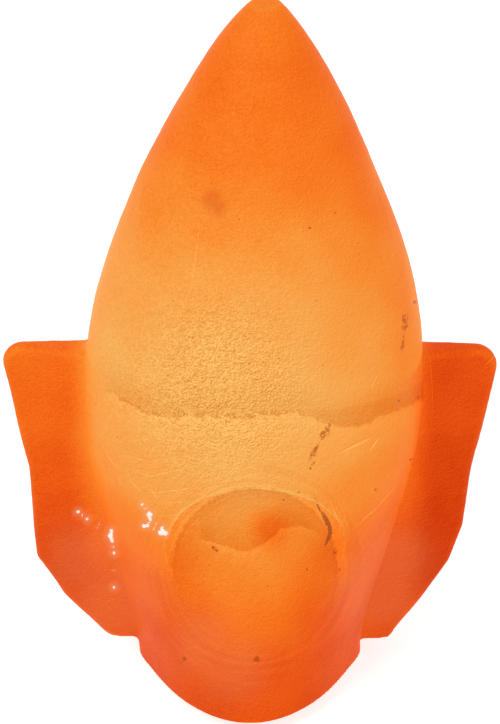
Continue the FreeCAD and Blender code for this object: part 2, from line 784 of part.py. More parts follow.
bulb_cap = new_body("bulb_cap")
turn(bulb_cap, [
    (s.bulb_cap_eye, bulb_cap_bottom),
    (bulb_cap_radius, bulb_cap_shoulder),
    (bulb_cap_radius, bulb_cap_top),
    (bulb_cap_inner, bulb_cap_top),
    (bulb_cap_inner, bulb_cap_shoulder + s.bulb_cap_wall / 2),
    (s.bulb_cap_eye, bulb_cap_bottom + s.bulb_cap_wall),
])

cap_insulator = new_body("cap_insulator")
turn(cap_insulator, [
    (0, bulb_cap_bottom),
    (s.bulb_tip_radius, bulb_cap_bottom),
    (s.bulb_tip_radius, bulb_cap_bottom - insulator_lip),
    (s.bulb_cap_eye - s.seat_gap, bulb_cap_bottom - s.seat_gap),
    (s.bulb_cap_eye - s.seat_gap, bulb_cap_bottom + insulator_lip),
    (bulb_cap_inner - insulator_lip * 2, bulb_cap_shoulder + s.bulb_cap_wall),
    (0, bulb_cap_shoulder + s.bulb_cap_wall),
])

tip_contact = new_body("tip_contact")
turn(tip_contact, [
    (0, bulb_bottom),
    (s.bulb_tip_face, bulb_bottom),
    (s.bulb_tip_radius - s.seat_gap, bulb_bottom + s.bulb_tip_height / 2, s.bulb_tip_radius),
    (s.bulb_tip_radius - s.seat_gap, bulb_cap_bottom),
    (0, bulb_cap_bottom),
])

glass_envelope = new_body("glass_envelope")
neck_bottom = bulb_cap_top - s.bulb_neck_length
inner_radius = s.bulb_radius - s.glass_wall
turn(glass_envelope, [
    (s.bulb_neck_radius, neck_bottom),
    (s.bulb_neck_radius, bulb_cap_top + s.glass_wall),
    (s.bulb_radius, glass_full, -s.bulb_shoulder_arc),
    (s.bulb_radius, glass_top - s.bulb_radius),
    (0, glass_top, s.bulb_radius),
    (0, glass_top - s.glass_wall),
    (inner_radius, glass_top - s.bulb_radius, -inner_radius),
    (inner_radius, glass_full),
    (s.bulb_neck_radius - s.glass_wall, bulb_cap_top + s.glass_wall * 2, s.bulb_shoulder_arc),
    (s.bulb_neck_radius - s.glass_wall, neck_bottom),
])

glass_stem = new_body("glass_stem")
turn(glass_stem, [
    (0, neck_bottom),
    (s.bulb_neck_radius - s.glass_wall - s.seat_gap, neck_bottom),
    (s.stem_radius, bulb_cap_top),
    (s.stem_radius, stem_top - s.stem_radius),
    (s.stem_pinch, stem_top),
    (0, stem_top),
])

LEAD_SIDES = (-1, 1)        # left and right
lead_wires = new_body("lead_wires")
lead_sketch = new_sketch(lead_wires, "XZ_Plane")
lead_top = filament_level - s.filament_radius
for side in LEAD_SIDES:
    draw_outline(lead_sketch, [
        ((s.lead_root - s.lead_radius) * side, stem_top),
        ((s.lead_root + s.lead_radius) * side, stem_top),
        ((s.lead_spread + s.lead_radius) * side, lead_top),
        ((s.lead_spread - s.lead_radius) * side, lead_top),
    ])
leads = lead_wires.newObject("PartDesign::Pad", "leads")
leads.Profile = lead_sketch
leads.Midplane = True
bind(leads, Length=s.lead_radius * 2)

filament = new_body("filament")
filament_sketch = draw_circle(new_sketch(filament, "XZ_Plane"), s.lead_spread, filament_level,
                              s.filament_radius)
filament_turn = filament.newObject("PartDesign::Revolution", "filament_turn")
filament_turn.Profile = filament_sketch
filament_turn.ReferenceAxis = (filament_sketch, ["V_Axis"])
filament_turn.Angle = 180.0

NODES = [
    salt_body, base_ring, foot_pad, base_screws, cord_grommet,
    holder_cap, entry_nipple, holder_shell, insulator_block, terminal_screws,
    screw_shell, centre_contact, shade_ring, clip_spring,
    bulb_cap, cap_insulator, tip_contact, glass_envelope, glass_stem, lead_wires, filament,
]


# ---------------------------------------------------------------- check and write
# nodes that hold several separate pieces; every other node is one solid
PIECES = {"base_screws": int(float(s.screw_count)), "terminal_screws": TERMINALS,
          "lead_wires": len(LEAD_SIDES)}

doc.recompute()
faults = [item.Label for item in doc.Objects
          if "Invalid" in item.State or "Error" in item.State]
for node in NODES:
    if node.Shape.isNull() or not node.Shape.isValid():
        faults.append(node.Label + " has no valid shape")
    elif len(node.Shape.Solids) != PIECES.get(node.Label, 1):
        faults.append("%s is %d solids" % (node.Label, len(node.Shape.Solids)))
if faults:
    sys.exit("not built: " + ", ".join(faults))

os.makedirs("parts", exist_ok=True)
for node in NODES:
    node.Shape.exportStep("parts/%s.step" % node.Label)
    box = node.Shape.BoundBox
    print("%-16s %d solid  %10.1f mm3  z %6.1f to %6.1f" % (
        node.Label, len(node.Shape.Solids), node.Shape.Volume, box.ZMin, box.ZMax))
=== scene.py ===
# %% [markdown]
# # A salt crystal lamp
# The real lamp is one block of rock salt, carved as a bud with two side petals and lit from inside.
# Nearly everything that the eye meets is that block, so most of this lesson is about one surface:
# how it was carved, how it is worn, and how the light comes through it.

import math

import bpy
import numpy as np
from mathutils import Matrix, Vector, noise


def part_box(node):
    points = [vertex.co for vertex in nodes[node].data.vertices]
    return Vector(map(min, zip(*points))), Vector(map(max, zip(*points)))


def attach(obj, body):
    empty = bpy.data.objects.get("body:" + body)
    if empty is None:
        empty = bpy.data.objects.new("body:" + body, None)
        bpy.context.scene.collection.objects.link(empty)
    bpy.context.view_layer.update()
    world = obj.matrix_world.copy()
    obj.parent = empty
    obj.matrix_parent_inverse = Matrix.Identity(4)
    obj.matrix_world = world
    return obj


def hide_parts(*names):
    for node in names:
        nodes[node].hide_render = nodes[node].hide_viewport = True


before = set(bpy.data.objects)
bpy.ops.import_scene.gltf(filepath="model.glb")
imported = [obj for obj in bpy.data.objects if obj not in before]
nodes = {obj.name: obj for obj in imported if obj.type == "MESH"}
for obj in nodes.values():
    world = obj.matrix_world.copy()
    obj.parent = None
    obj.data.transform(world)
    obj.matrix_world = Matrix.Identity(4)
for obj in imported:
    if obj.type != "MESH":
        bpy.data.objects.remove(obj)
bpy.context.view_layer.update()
print("nodes:", len(nodes))

# %% [markdown]
# ## Units
# Blender works in metres here and a maker thinks in millimetres, so sizes are written in
# millimetres and multiplied by MM. A pattern's scale in the shader is repeats per metre,
# so `per(3)` asks for a feature about every 3 mm.

# %% Units
MM = 0.001


def per(spacing_mm):
    """Texture scale for a pattern that repeats about every so many millimetres."""
    return 1.0 / (spacing_mm * MM)


# %% [markdown]
# ## Camera
# The lamp is seen from straight ahead and from 30 degrees above, from far away: its sides look
# nearly parallel. A long lens three metres off does that. The camera comes first, because the
# small marks on the salt are placed by where they are seen.

# %% Camera
IMAGE_WIDTH, IMAGE_HEIGHT = 500, 724
PIXEL = 0.33 * MM                       # size of one pixel at the object
ELEVATION = math.radians(30.0)
DISTANCE = 3.0
SENSOR_MM = 24.0
AIM = Vector((0.0, 0.0, 117.0 * MM))    # what the middle of the image looks at

toward_camera = Vector((0.0, -math.cos(ELEVATION), math.sin(ELEVATION)))
camera_data = bpy.data.cameras.new("camera")
camera_data.sensor_fit = "VERTICAL"
camera_data.sensor_height = SENSOR_MM
camera_data.lens = SENSOR_MM * DISTANCE / (IMAGE_HEIGHT * PIXEL)
camera = bpy.data.objects.new("camera", camera_data)
camera.location = AIM + toward_camera * DISTANCE
camera.rotation_euler = (math.pi / 2.0 - ELEVATION, 0.0, 0.0)
bpy.context.scene.collection.objects.link(camera)
bpy.context.scene.camera = camera
print("lens: %.0f mm" % camera_data.lens)

# %% [markdown]
# ## The block of salt
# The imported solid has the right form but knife-sharp edges. Salt is soft and takes up water from
# the air, so a real block has no sharp edge left. A voxel remesh rebuilds the form as an even skin
# of small squares, which can then be smoothed and worn in code.

# %% Even skin
SKIN_MM = 0.8


def remeshed(source, name, voxel):
    """A copy of a node's mesh as an even skin of squares."""
    piece = bpy.data.objects.new(name, source.data.copy())
    bpy.context.scene.collection.objects.link(piece)
    skin = piece.modifiers.new("skin", "REMESH")
    skin.mode = "VOXEL"
    skin.voxel_size = voxel
    depsgraph = bpy.context.evaluated_depsgraph_get()
    mesh = bpy.data.meshes.new_from_object(piece.evaluated_get(depsgraph))
    piece.modifiers.clear()
    piece.data = mesh
    return piece


salt = remeshed(nodes["salt_body"], "carved_salt", SKIN_MM * MM)
salt_mesh = salt.data
points = np.empty(len(salt_mesh.vertices) * 3)
salt_mesh.vertices.foreach_get("co", points)
points = points.reshape(-1, 3)
links = np.empty(len(salt_mesh.edges) * 2, dtype=np.int64)
salt_mesh.edges.foreach_get("vertices", links)
links = links.reshape(-1, 2)
print("skin: %d points" % len(points))

# %% [markdown]
# ## Which points are outside
# Only the carved outside is worn. The bore, the seat of the wooden ring and the cord's way in were
# cut by tools and stay true, so a number from 0 to 1 says how far each point belongs to the outside.

# %% Outside of the block
def ramp(value, low, high):
    """0 below low, 1 above high, and a smooth step between."""
    t = np.clip((value - low) / (high - low), 0.0, 1.0)
    return t * t * (3.0 - 2.0 * t)


BORE_RADIUS = 21.0 * MM
BORE_TOP = 133.0 * MM
salt_low, salt_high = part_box("salt_body")
inlet_low, inlet_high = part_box("cord_grommet")
inlet_height = (inlet_low[2] + inlet_high[2]) / 2.0


def outside_share(p):
    from_axis = np.hypot(p[:, 0], p[:, 1])
    off_bore = np.maximum(ramp(from_axis, BORE_RADIUS + 2 * MM, BORE_RADIUS + 5 * MM),
                          ramp(p[:, 2], BORE_TOP + 2 * MM, BORE_TOP + 6 * MM))
    off_foot = ramp(p[:, 2], salt_low[2] + 0.5 * MM, salt_low[2] + 4 * MM)
    from_inlet = np.hypot(p[:, 0], p[:, 2] - inlet_height)
    off_inlet = np.maximum(ramp(from_inlet, 8 * MM, 11 * MM), p[:, 1] < 15 * MM)
    return off_bore * off_foot * off_inlet


outside = outside_share(points)

# %% [markdown]
# ## Wear
# Smoothing moves each point towards the middle of its neighbours. A few rounds all over take the
# edges off. The left petal runs into the bud in a soft hollow, so it gets many more rounds there,
# while the right petal keeps its crisp join.

# %% Wear the edges
def worn(p, share, rounds, strength=0.5):
    neighbours = np.bincount(links.ravel(), minlength=len(p))
    for _ in range(rounds):
        total = np.zeros_like(p)
        for axis in range(3):
            total[:, axis] = (np.bincount(links[:, 0], p[links[:, 1], axis], len(p))
                              + np.bincount(links[:, 1], p[links[:, 0], axis], len(p)))
        middle = total / neighbours[:, None]
        p = p + (middle - p) * (share * strength)[:, None]
    return p


OVERALL_ROUNDS = 6
FILLET_ROUNDS = 150
# a band between the bud and the left petal, faded out at its sides, its top and its foot
fillet = (ramp(-points[:, 0], 34 * MM, 46 * MM) * (1.0 - ramp(-points[:, 0], 60 * MM, 72 * MM))
          * (1.0 - ramp(points[:, 2], 96 * MM, 112 * MM)) * ramp(points[:, 2], 26 * MM, 42 * MM)
          * outside)
points = worn(points, outside, OVERALL_ROUNDS)
points = worn(points, fillet, FILLET_ROUNDS)


def write_points():
    salt_mesh.vertices.foreach_set("co", points.ravel())
    salt_mesh.update()


def point_normals():
    normals = np.empty(len(points) * 3)
    salt_mesh.vertex_normals.foreach_get("vector", normals)
    return normals.reshape(-1, 3)


write_points()
print("worn by smoothing")

# %% [markdown]
# ## Placing marks where they are seen
# Each mark is given by where it is seen in the image, in pixels. Each point of the salt is
# projected into that same image, and its distance from a mark is measured there.

# %% Where each point of the salt is seen
FAR_MM = 60.0                           # stands for "nowhere near"
LEAST_FACING = 0.02                     # skin that faces the camera less than this has no mark,
FRONT_MM = 25.0                         # nor has skin that lies further back than this

to_right = Vector((1.0, 0.0, 0.0))
to_top = toward_camera.cross(to_right)
offset = points - np.array(camera.location)
depth = -offset @ np.array(toward_camera)
columns = IMAGE_WIDTH / 2.0 + offset @ np.array(to_right) * DISTANCE / depth / PIXEL
rows = IMAGE_HEIGHT / 2.0 - offset @ np.array(to_top) * DISTANCE / depth / PIXEL
faces_camera = ((point_normals() @ np.array(toward_camera) > LEAST_FACING)
                & (points[:, 1] < FRONT_MM * MM))


def from_lines(lines):
    """For each point the nearest line, in millimetres: how far to its left or right, how far in
    all, and its half width there. A line is its half width and its places in the image, and it
    tapers to both ends. The signed distance lets the shader draw lines finer than the skin."""
    found = np.full((len(points), 3), FAR_MM)
    for half_width, places in lines:
        lengths = [math.hypot(b[0] - a[0], b[1] - a[1]) for a, b in zip(places, places[1:])]
        before = 0.0
        for (x0, y0), (x1, y1), length in zip(places, places[1:], lengths):
            run_x, run_y = (x1 - x0) / length, (y1 - y0) / length
            run = np.clip((columns - x0) * run_x + (rows - y0) * run_y, 0.0, length)
            side_x, side_y = columns - x0 - run * run_x, rows - y0 - run * run_y
            gap = np.hypot(side_x, side_y) * PIXEL / MM
            turn = np.sign(run_x * side_y - run_y * side_x)
            share = (before + run) / sum(lengths)
            taper = half_width * np.sqrt(np.clip(4.0 * share * (1.0 - share), 0.04, 1.0))
            closer = (gap < found[:, 1]) & faces_camera
            found[closer] = np.stack([turn * gap, gap, taper], axis=1)[closer]
            before += length
    return found


def from_spots(spots):
    """For each point the nearest round spot (column, row, radius in mm): how far it lies to the
    right and down, in millimetres, and its radius."""
    found = np.full((len(points), 3), FAR_MM)
    found[:, 2] = 0.0
    nearest = np.full(len(points), 2.0 * FAR_MM)
    for x, y, radius_mm in spots:
        right, down = (columns - x) * PIXEL / MM, (rows - y) * PIXEL / MM
        gap = np.hypot(right, down) - radius_mm
        closer = (gap < nearest) & faces_camera
        found[closer] = np.stack([right, down, np.full(len(points), radius_mm)], axis=1)[closer]
        nearest = np.where(closer, gap, nearest)
    return found


def gap_to(spots):
    return np.hypot(spots[:, 0], spots[:, 1]) - spots[:, 2]


def soft(distance_mm, radius_mm):
    """1 on the mark, falling softly to 0 beside it."""
    return np.exp(-(np.maximum(distance_mm, 0.0) / radius_mm) ** 2)


print("points that can carry a mark: %d" % faces_camera.sum())

# %% [markdown]
# ## Relief
# Three sizes of unevenness make a hand-carved surface: the slow swell of the carving, the flats
# left by the scraper, and a fine sandpaper grain. The finest grain is left to the shader's bump.

# %% Swell, flats and grain
RELIEF = (            # spacing and height, in millimetres
    (34.0, 0.55),
    (11.0, 0.16),
    (3.2, 0.07),
)


def field(spacing_mm, shift):
    """Smooth noise from -1 to 1 at every point."""
    scale = per(spacing_mm)
    return np.array([noise.noise(Vector(p) * scale + Vector((shift, 0.0, 0.0)))
                     for p in points])


lift = np.zeros(len(points))
for index, (spacing, height) in enumerate(RELIEF):
    lift += field(spacing, 10.0 * index) * height
RAGGED_MM = 4.5                         # how fast the broken edges wander
PATCH_MM = 16.0                         # size of the brighter and darker patches
ragged = field(RAGGED_MM, 50.0)
patchy = field(PATCH_MM, 70.0)

# %% [markdown]
# ## The crease, the scoop and the small damage
# Across the front runs a ragged crease, where the bud was cut back above a lower cup. Under it is
# a round scoop with a sharp upper rim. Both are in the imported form, and here they get their
# broken edge: a groove whose depth wanders.

# %% Lines of the carving, as seen in the image
CREASE = ((104, 392), (110, 392), (122, 400), (145, 413), (165, 416), (190, 415), (240, 417),
          (270, 414), (300, 413), (322, 421), (340, 427), (358, 427), (375, 420), (400, 410),
          (424, 398))
CHIP_TOP = ((300, 411), (330, 409), (362, 404), (392, 396), (424, 380))
SCOOP_MIDDLE = (255, 570)
SCOOP_RADIUS = 27.4                     # mm, and the rim shows only over its upper half
RECESS_EDGE = ((196, 536), (206, 540), (224, 546), (240, 550), (247, 551), (256, 547), (268, 541),
               (276, 533), (284, 528), (300, 526), (314, 530), (326, 540))
CRACKS = (                              # half width in mm, then the places
    (0.22, ((315, 497), (319, 508), (324, 518), (327, 527))),
    (0.75, ((322, 512), (329, 524), (331, 534), (326, 547))),
)
SCRATCHES = (
    (0.20, ((150, 493), (168, 491), (192, 488))), (0.18, ((102, 446), (110, 460), (119, 470))),
    (0.16, ((116, 474), (122, 486))), (0.16, ((130, 480), (140, 491))),
    (0.18, ((151, 487), (158, 500))), (0.16, ((160, 503), (186, 501))),
    (0.35, ((358, 526), (366, 517), (378, 508))), (0.25, ((376, 510), (386, 498), (397, 487))),
    (0.45, ((341, 453), (352, 447), (372, 438))), (0.30, ((371, 450), (380, 438))),
    (0.22, ((371, 389), (378, 374))), (0.14, ((200, 225), (196, 255), (190, 290))),
    (0.14, ((430, 355), (432, 380), (433, 412))), (0.30, ((485, 366), (495, 356))),
    (0.15, ((216, 503), (232, 495))), (0.14, ((172, 524), (180, 512), (192, 503))),
    (0.14, ((176, 534), (182, 522), (190, 513))), (0.12, ((182, 541), (188, 529), (198, 519))),
    (0.18, ((330, 500), (338, 520), (341, 540))), (0.14, ((336, 495), (345, 515), (349, 532))),
    (0.15, ((132, 470), (150, 476), (178, 470))), (0.12, ((120, 455), (150, 462), (170, 458))),
)
RUST_TRAILS = (
    (0.75, ((406, 311), (405, 322), (404, 331))), (0.40, ((403, 336), (402, 352))),
    (0.95, ((331, 423), (325, 433), (320, 442))), (0.70, ((319, 443), (314, 451), (310, 457))),
)
PITS = ((257, 660, 0.9), (184, 659, 0.6), (421, 397, 0.5), (412, 460, 0.4), (213, 548, 0.6),
        (217, 551, 0.4), (376, 490, 0.3), (310, 228, 0.4), (336, 213, 0.35), (415, 302, 0.5),
        (400, 401, 0.35), (310, 468, 0.35), (314, 463, 0.25), (335, 553, 0.45), (308, 570, 0.3),
        (340, 570, 0.3), (299, 492, 0.25), (283, 500, 0.2))
RED_PATCHES = ((213, 200, 1.6), (218, 206, 1.0))
# painted highlights: small white spots where lamps would be mirrored, each with a warm halo
HIGHLIGHT_SPOTS = ((78, 512, 0.40), (87, 519, 0.25), (111, 531, 0.45), (110, 536, 0.70), (112, 541, 0.45),
          (114, 553, 0.30), (114, 587, 0.25), (143, 504, 0.25), (150, 514, 0.75), (151, 519, 0.35),
          (144, 526, 0.50), (148, 525, 0.45), (161, 532, 0.70), (165, 532, 0.80), (163, 527, 0.3))
# painted reflection: a soft pale haze on the lower lobes, where a bright room would be mirrored
HAZE_REFLECTIONS = ((85, 560, 4.0), (112, 600, 6.0), (205, 645, 3.0), (232, 668, 3.0), (378, 590, 5.0),
        (395, 560, 3.0))
LIGHT_FOCUS = ((222, 392, 9.0),)              # where the bulb's light meets the skin most squarely
WARM = ((252, 580, 5.0),)               # thin salt at the bottom of the scoop
DEEP = ((270, 529, 1.5),)               # thick, iron-rich salt at the top of it
CREASE_DEPTH, CREASE_WANDER = 0.5, 0.7  # all in mm: a mean, and how far it wanders
RIM_HEIGHT, RIM_WANDER = 0.15, 0.2
RECESS_DEPTH, CRACK_DEPTH, SCRATCH_DEPTH, PIT_DEPTH = 0.7, 0.6, 0.2, 0.4

crease_row = np.interp(columns, [x for x, _ in CREASE], [y for _, y in CREASE])
above_crease = np.clip((crease_row - rows) * PIXEL / MM, -FAR_MM, FAR_MM)
on_crease = (ramp(columns, CREASE[0][0] - 4, CREASE[0][0] + 12)
             * (1.0 - ramp(columns, CREASE[-1][0] - 6, CREASE[-1][0] + 2)) * faces_camera)
# the face of the chip above the right end of the crease is drawn only as a band of painted shade
chip_row = np.interp(columns, [x for x, _ in CHIP_TOP], [y for _, y in CHIP_TOP])
chip_shade = (ramp(columns, CHIP_TOP[0][0], CHIP_TOP[0][0] + 25) * ramp(rows - chip_row, -1.0, 3.0)
           * (rows < crease_row) * faces_camera * (columns < CHIP_TOP[-1][0]))
scoop_x = (columns - SCOOP_MIDDLE[0]) * PIXEL / MM
scoop_y = (SCOOP_MIDDLE[1] - rows) * PIXEL / MM
scoop_distance = np.where(faces_camera, np.hypot(scoop_x, scoop_y), FAR_MM)
scoop_turn = np.arctan2(scoop_y, scoop_x) * SCOOP_RADIUS
upper_half = ramp(scoop_y, -16.0, 8.0)

recess_row = np.interp(columns, [x for x, _ in RECESS_EDGE], [y for _, y in RECESS_EDGE])
above_recess = np.clip((recess_row - rows) * PIXEL / MM, -FAR_MM, FAR_MM)
in_recess = (ramp(columns, RECESS_EDGE[0][0], RECESS_EDGE[0][0] + 10)
             * (1.0 - ramp(columns, RECESS_EDGE[-1][0] - 8, RECESS_EDGE[-1][0]))
             * (1.0 - ramp(scoop_distance, SCOOP_RADIUS - 6, SCOOP_RADIUS - 1)) * faces_camera)
crack = from_lines(CRACKS)
scratch = from_lines(SCRATCHES)
rust = from_lines(RUST_TRAILS)
pit = from_spots(PITS)
highlight_spot = from_spots(HIGHLIGHT_SPOTS)

crease_groove = np.exp(-((above_crease - 0.6) / 1.6) ** 2) * on_crease
rim_edge = np.exp(-((scoop_distance - SCOOP_RADIUS) / 1.4) ** 2) * upper_half
recess_step = ramp(above_recess, -0.8, 0.8) * (1.0 - ramp(above_recess, 3.0, 12.0)) * in_recess
lift -= crease_groove * (CREASE_DEPTH + CREASE_WANDER * ragged)
lift += rim_edge * (RIM_HEIGHT + RIM_WANDER * ragged)
lift -= recess_step * RECESS_DEPTH
lift -= soft(crack[:, 1], 0.9) * CRACK_DEPTH + soft(scratch[:, 1], 0.7) * SCRATCH_DEPTH
lift -= soft(gap_to(pit), 0.7) * PIT_DEPTH
edge = (points - worn(points, np.ones(len(points)), 14)) * point_normals()
thin_edge = ramp(edge.sum(axis=1) / MM, 0.10, 0.55) * outside
points = points + point_normals() * (lift * outside * MM)[:, None]
points = np.clip(points, salt_low, salt_high)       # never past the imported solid's own box
write_points()
print("relief from %.2f to %.2f mm" % (lift.min(), lift.max()))

# %% [markdown]
# ## How far the light comes through
# The bulb stands inside the bore. Where the salt is thin and near it, the block glows pale gold.
# Further off the light is filtered to orange, and the far petals and the foot are deep red-orange.
# This is worked out per point from its place in the block, so it looks the same from every side.

# %% Glow
HEIGHTS_MM = (5, 25, 45, 65, 85, 105, 125, 145, 165, 185, 205, 232, 251)
BODY_GLOW = (0.16, 0.20, 0.30, 0.48, 0.76, 0.93, 1.0, 0.94, 0.82, 0.66, 0.50, 0.44, 0.52)
PETAL_GLOW_LEFT = (0.10, 0.36)          # at the foot, at the top
PETAL_GLOW_RIGHT = (0.0, 0.17)
GLOW_MIDDLE_X = -10.0 * MM
GLOW_HALF_WIDTH = 60.0 * MM
SIDE_LOSS = 0.36                        # of the glow is lost at that half width
WARM_GAIN, WARM_REACH_MM = 0.18, 15.0
DEEP_LOSS, DEEP_REACH_MM = 0.30, 5.0
EDGE_GAIN = 0.22                        # more light comes out at thin edges
PATCH_GAIN = 0.05                       # and the salt is a little uneven all over

height = points[:, 2]
body_glow = np.interp(height, np.array(HEIGHTS_MM) * MM, BODY_GLOW)
from_middle = (points[:, 0] - GLOW_MIDDLE_X) / GLOW_HALF_WIDTH
body_glow = body_glow * (1.0 - SIDE_LOSS * np.clip(from_middle ** 2, 0, 1))
up_petal = ramp(height, 30 * MM, 120 * MM)
left_glow = PETAL_GLOW_LEFT[0] + (PETAL_GLOW_LEFT[1] - PETAL_GLOW_LEFT[0]) * up_petal
right_glow = PETAL_GLOW_RIGHT[0] + (PETAL_GLOW_RIGHT[1] - PETAL_GLOW_RIGHT[0]) * up_petal
on_petal = ramp(np.abs(points[:, 0]), 50 * MM, 62 * MM) * (height < 122 * MM)
petal_glow = np.where(points[:, 0] < 0, left_glow, right_glow)
glow = body_glow * (1.0 - on_petal) + petal_glow * on_petal
warm = soft(gap_to(from_spots(WARM)), WARM_REACH_MM)
deep = soft(gap_to(from_spots(DEEP)), DEEP_REACH_MM)
glow = (glow + WARM_GAIN * warm - DEEP_LOSS * deep + EDGE_GAIN * thin_edge
        + PATCH_GAIN * patchy)
glow = np.clip(glow, 0.0, 1.0)


def store(name, values):
    """Values go to the shader: one for each point, or three. Distances stay in millimetres."""
    kind, field_name = ("FLOAT", "value") if values.ndim == 1 else ("FLOAT_VECTOR", "vector")
    layer = salt_mesh.attributes.new(name, kind, "POINT")
    layer.data.foreach_set(field_name, values.astype(np.float32).ravel())


store("glow", glow)
store("above_crease", above_crease)
store("on_crease", on_crease)
store("crisp_crease", on_crease * (1.0 - 0.75 * ramp(columns, 295, 330)))
store("chip_shade", chip_shade)
store("scoop_distance", scoop_distance)
store("scoop_turn", scoop_turn)
store("upper_half", upper_half)
store("above_recess", above_recess)
store("in_recess", in_recess)
store("crack", crack)
store("scratch", scratch)
store("rust", rust)
store("pit", pit)
store("highlight_spot", highlight_spot)
for name, spots, reach_mm in (("red", RED_PATCHES, 2.2), ("haze_reflection", HAZE_REFLECTIONS, 9.0), ("light_focus", LIGHT_FOCUS, 17.0)):
    store(name, soft(gap_to(from_spots(spots)), reach_mm))
salt_mesh.polygons.foreach_set("use_smooth", [True] * len(salt_mesh.polygons))
print("glow from %.2f to %.2f" % (glow.min(), glow.max()))

# %% [markdown]
# ## Colours and nodes
# Colours are written as a designer picks them, in sRGB hex, and turned to the linear values that
# the shader needs. One small function adds any node with its settings and links.

# %% Helpers for materials
def srgb(code):
    """'#rrggbb' to linear red, green, blue and alpha."""
    parts = [int(code[i:i + 2], 16) / 255.0 for i in (1, 3, 5)]
    return tuple(c / 12.92 if c <= 0.04045 else ((c + 0.055) / 1.055) ** 2.4 for c in parts) + (1.0,)


def add(tree, kind, settings=None, **inputs):
    """A new node. Inputs are numbers, colours or other nodes' outputs, by name or as i0, i1."""
    node = tree.nodes.new("ShaderNode" + kind)
    for name, value in (settings or {}).items():
        setattr(node, name, value)
    for name, value in inputs.items():
        if name[0] == "i" and name[1:].isdigit():
            socket = node.inputs[int(name[1:])]
        else:
            socket = node.inputs[name.replace("_", " ")]
        if isinstance(value, bpy.types.NodeSocket):
            tree.links.new(value, socket)
        else:
            socket.default_value = value
    return node


def new_material(name):
    material = bpy.data.materials.new(name)
    material.use_nodes = True
    material.node_tree.nodes.clear()
    return material, material.node_tree


def finish_material(tree, shader):
    add(tree, "OutputMaterial", Surface=shader.outputs[0])


def colour_ramp(tree, factor, stops):
    """Colours between named places from 0 to 1."""
    node = add(tree, "ValToRGB", Fac=factor)
    elements = node.color_ramp.elements
    while len(elements) < len(stops):
        elements.new(0.5)
    for element, (place, code) in zip(elements, stops):
        element.position = place
        element.color = srgb(code)
    return node.outputs["Color"]


# %% [markdown]
# ## Rock salt
# Halite: a soft clear crystal, coloured by iron. Scraped and sanded, it has a satin skin with a
# fine sugary grain. Most of what the eye gets is light from inside, so the same colour goes to the
# emission and, weaker, to the base, and the two add up to the colour that is written.

# %% Rock salt
GLOW_COLOURS = ((0.0, "#d63c02"), (0.2, "#ee560c"), (0.42, "#fb7418"), (0.6, "#fc8a2a"),
                (0.8, "#fba348"), (1.0, "#f8b65e"))
INSIDE_SHARE = 0.78         # of the colour comes from the light inside
SURFACE_SHARE = 0.24        # and this much from light that falls on it
SALT_IOR = 1.544
SALT_SHINE = 0.05           # a sanded skin mirrors far less than a clean crystal face
GRAIN_MM = 0.7              # sugary grain left by coarse sandpaper
CRUMB_MM = 2.4              # crumbs of crystal that broke out
CLOUD_MM = 24.0             # veils of iron in the salt
STROKE_MM = 1.6             # marks of the scraper round the scoop

rock_salt, tree = new_material("rock_salt_sanded")
place = add(tree, "TexCoord").outputs["Object"]


def stored(name):
    return add(tree, "Attribute", {"attribute_name": name}).outputs["Fac"]


def stored_three(name):
    """The three values of a stored mark."""
    vector = add(tree, "Attribute", {"attribute_name": name}).outputs["Vector"]
    return add(tree, "SeparateXYZ", Vector=vector).outputs


def math_node(operation, first, second=0.0):
    return add(tree, "Math", {"operation": operation}, i0=first, i1=second).outputs[0]


def mapped(value, low, high, to_low, to_high):
    return add(tree, "MapRange", Value=value, From_Min=low, From_Max=high, To_Min=to_low,
               To_Max=to_high).outputs[0]


def spread(noise_value, to_low, to_high):
    """Noise seldom leaves the band from 0.3 to 0.7, so that band is what gets spread."""
    return mapped(noise_value, 0.3, 0.7, to_low, to_high)


def noise_at(spacing_mm, where, detail=3.0, roughness=0.6):
    return add(tree, "TexNoise", Vector=where, Scale=per(spacing_mm), Detail=detail,
               Roughness=roughness).outputs["Fac"]


# light from inside leaks out on one side of each grain, so the difference of the same noise
# at two places a hair apart draws the grain as if it were lit from the side
HAIR = (0.22 * MM, 0.10 * MM, -0.34 * MM)
beside = add(tree, "VectorMath", {"operation": "ADD"}, i0=place, i1=HAIR).outputs[0]
grain = noise_at(GRAIN_MM, place)
grain_side = math_node("SUBTRACT", grain, noise_at(GRAIN_MM, beside))
crumb = noise_at(CRUMB_MM, place)
crumb_side = math_node("SUBTRACT", crumb, noise_at(CRUMB_MM, beside))
cloud = noise_at(CLOUD_MM, place, 4.0, 0.55)

# strokes of the scraper run round the scoop: noise stretched along the turn
along_turn = math_node("MULTIPLY", stored("scoop_turn"), 0.07)
turned = add(tree, "CombineXYZ", X=stored("scoop_distance"), Y=along_turn)
strokes = add(tree, "TexNoise", Vector=turned.outputs[0], Scale=1.0 / STROKE_MM, Detail=2.0)
stroke_share = math_node(
    "MULTIPLY", mapped(stored("scoop_distance"), SCOOP_RADIUS - 2.0, SCOOP_RADIUS + 1.0, 0.12, 1.0),
    mapped(stored("scoop_distance"), SCOOP_RADIUS + 3.0, SCOOP_RADIUS + 16.0, 1.0, 0.0))
stroke = math_node("MULTIPLY", math_node("SUBTRACT", strokes.outputs["Fac"], 0.5), stroke_share)


def profile(across_mm, stops):
    """A tone, from -0.5 to 0.5, drawn across a line: stops are millimetres and the tone there."""
    low, high = stops[0][0], stops[-1][0]
    node = add(tree, "ValToRGB", Fac=mapped(across_mm, low, high, 0.0, 1.0))
    elements = node.color_ramp.elements
    while len(elements) < len(stops):
        elements.new(0.5)
    for element, (at_mm, level) in zip(elements, stops):
        element.position = (at_mm - low) / (high - low)
        element.color = (level + 0.5, level + 0.5, level + 0.5, 1.0)
    return math_node("SUBTRACT", node.outputs["Color"], 0.5)
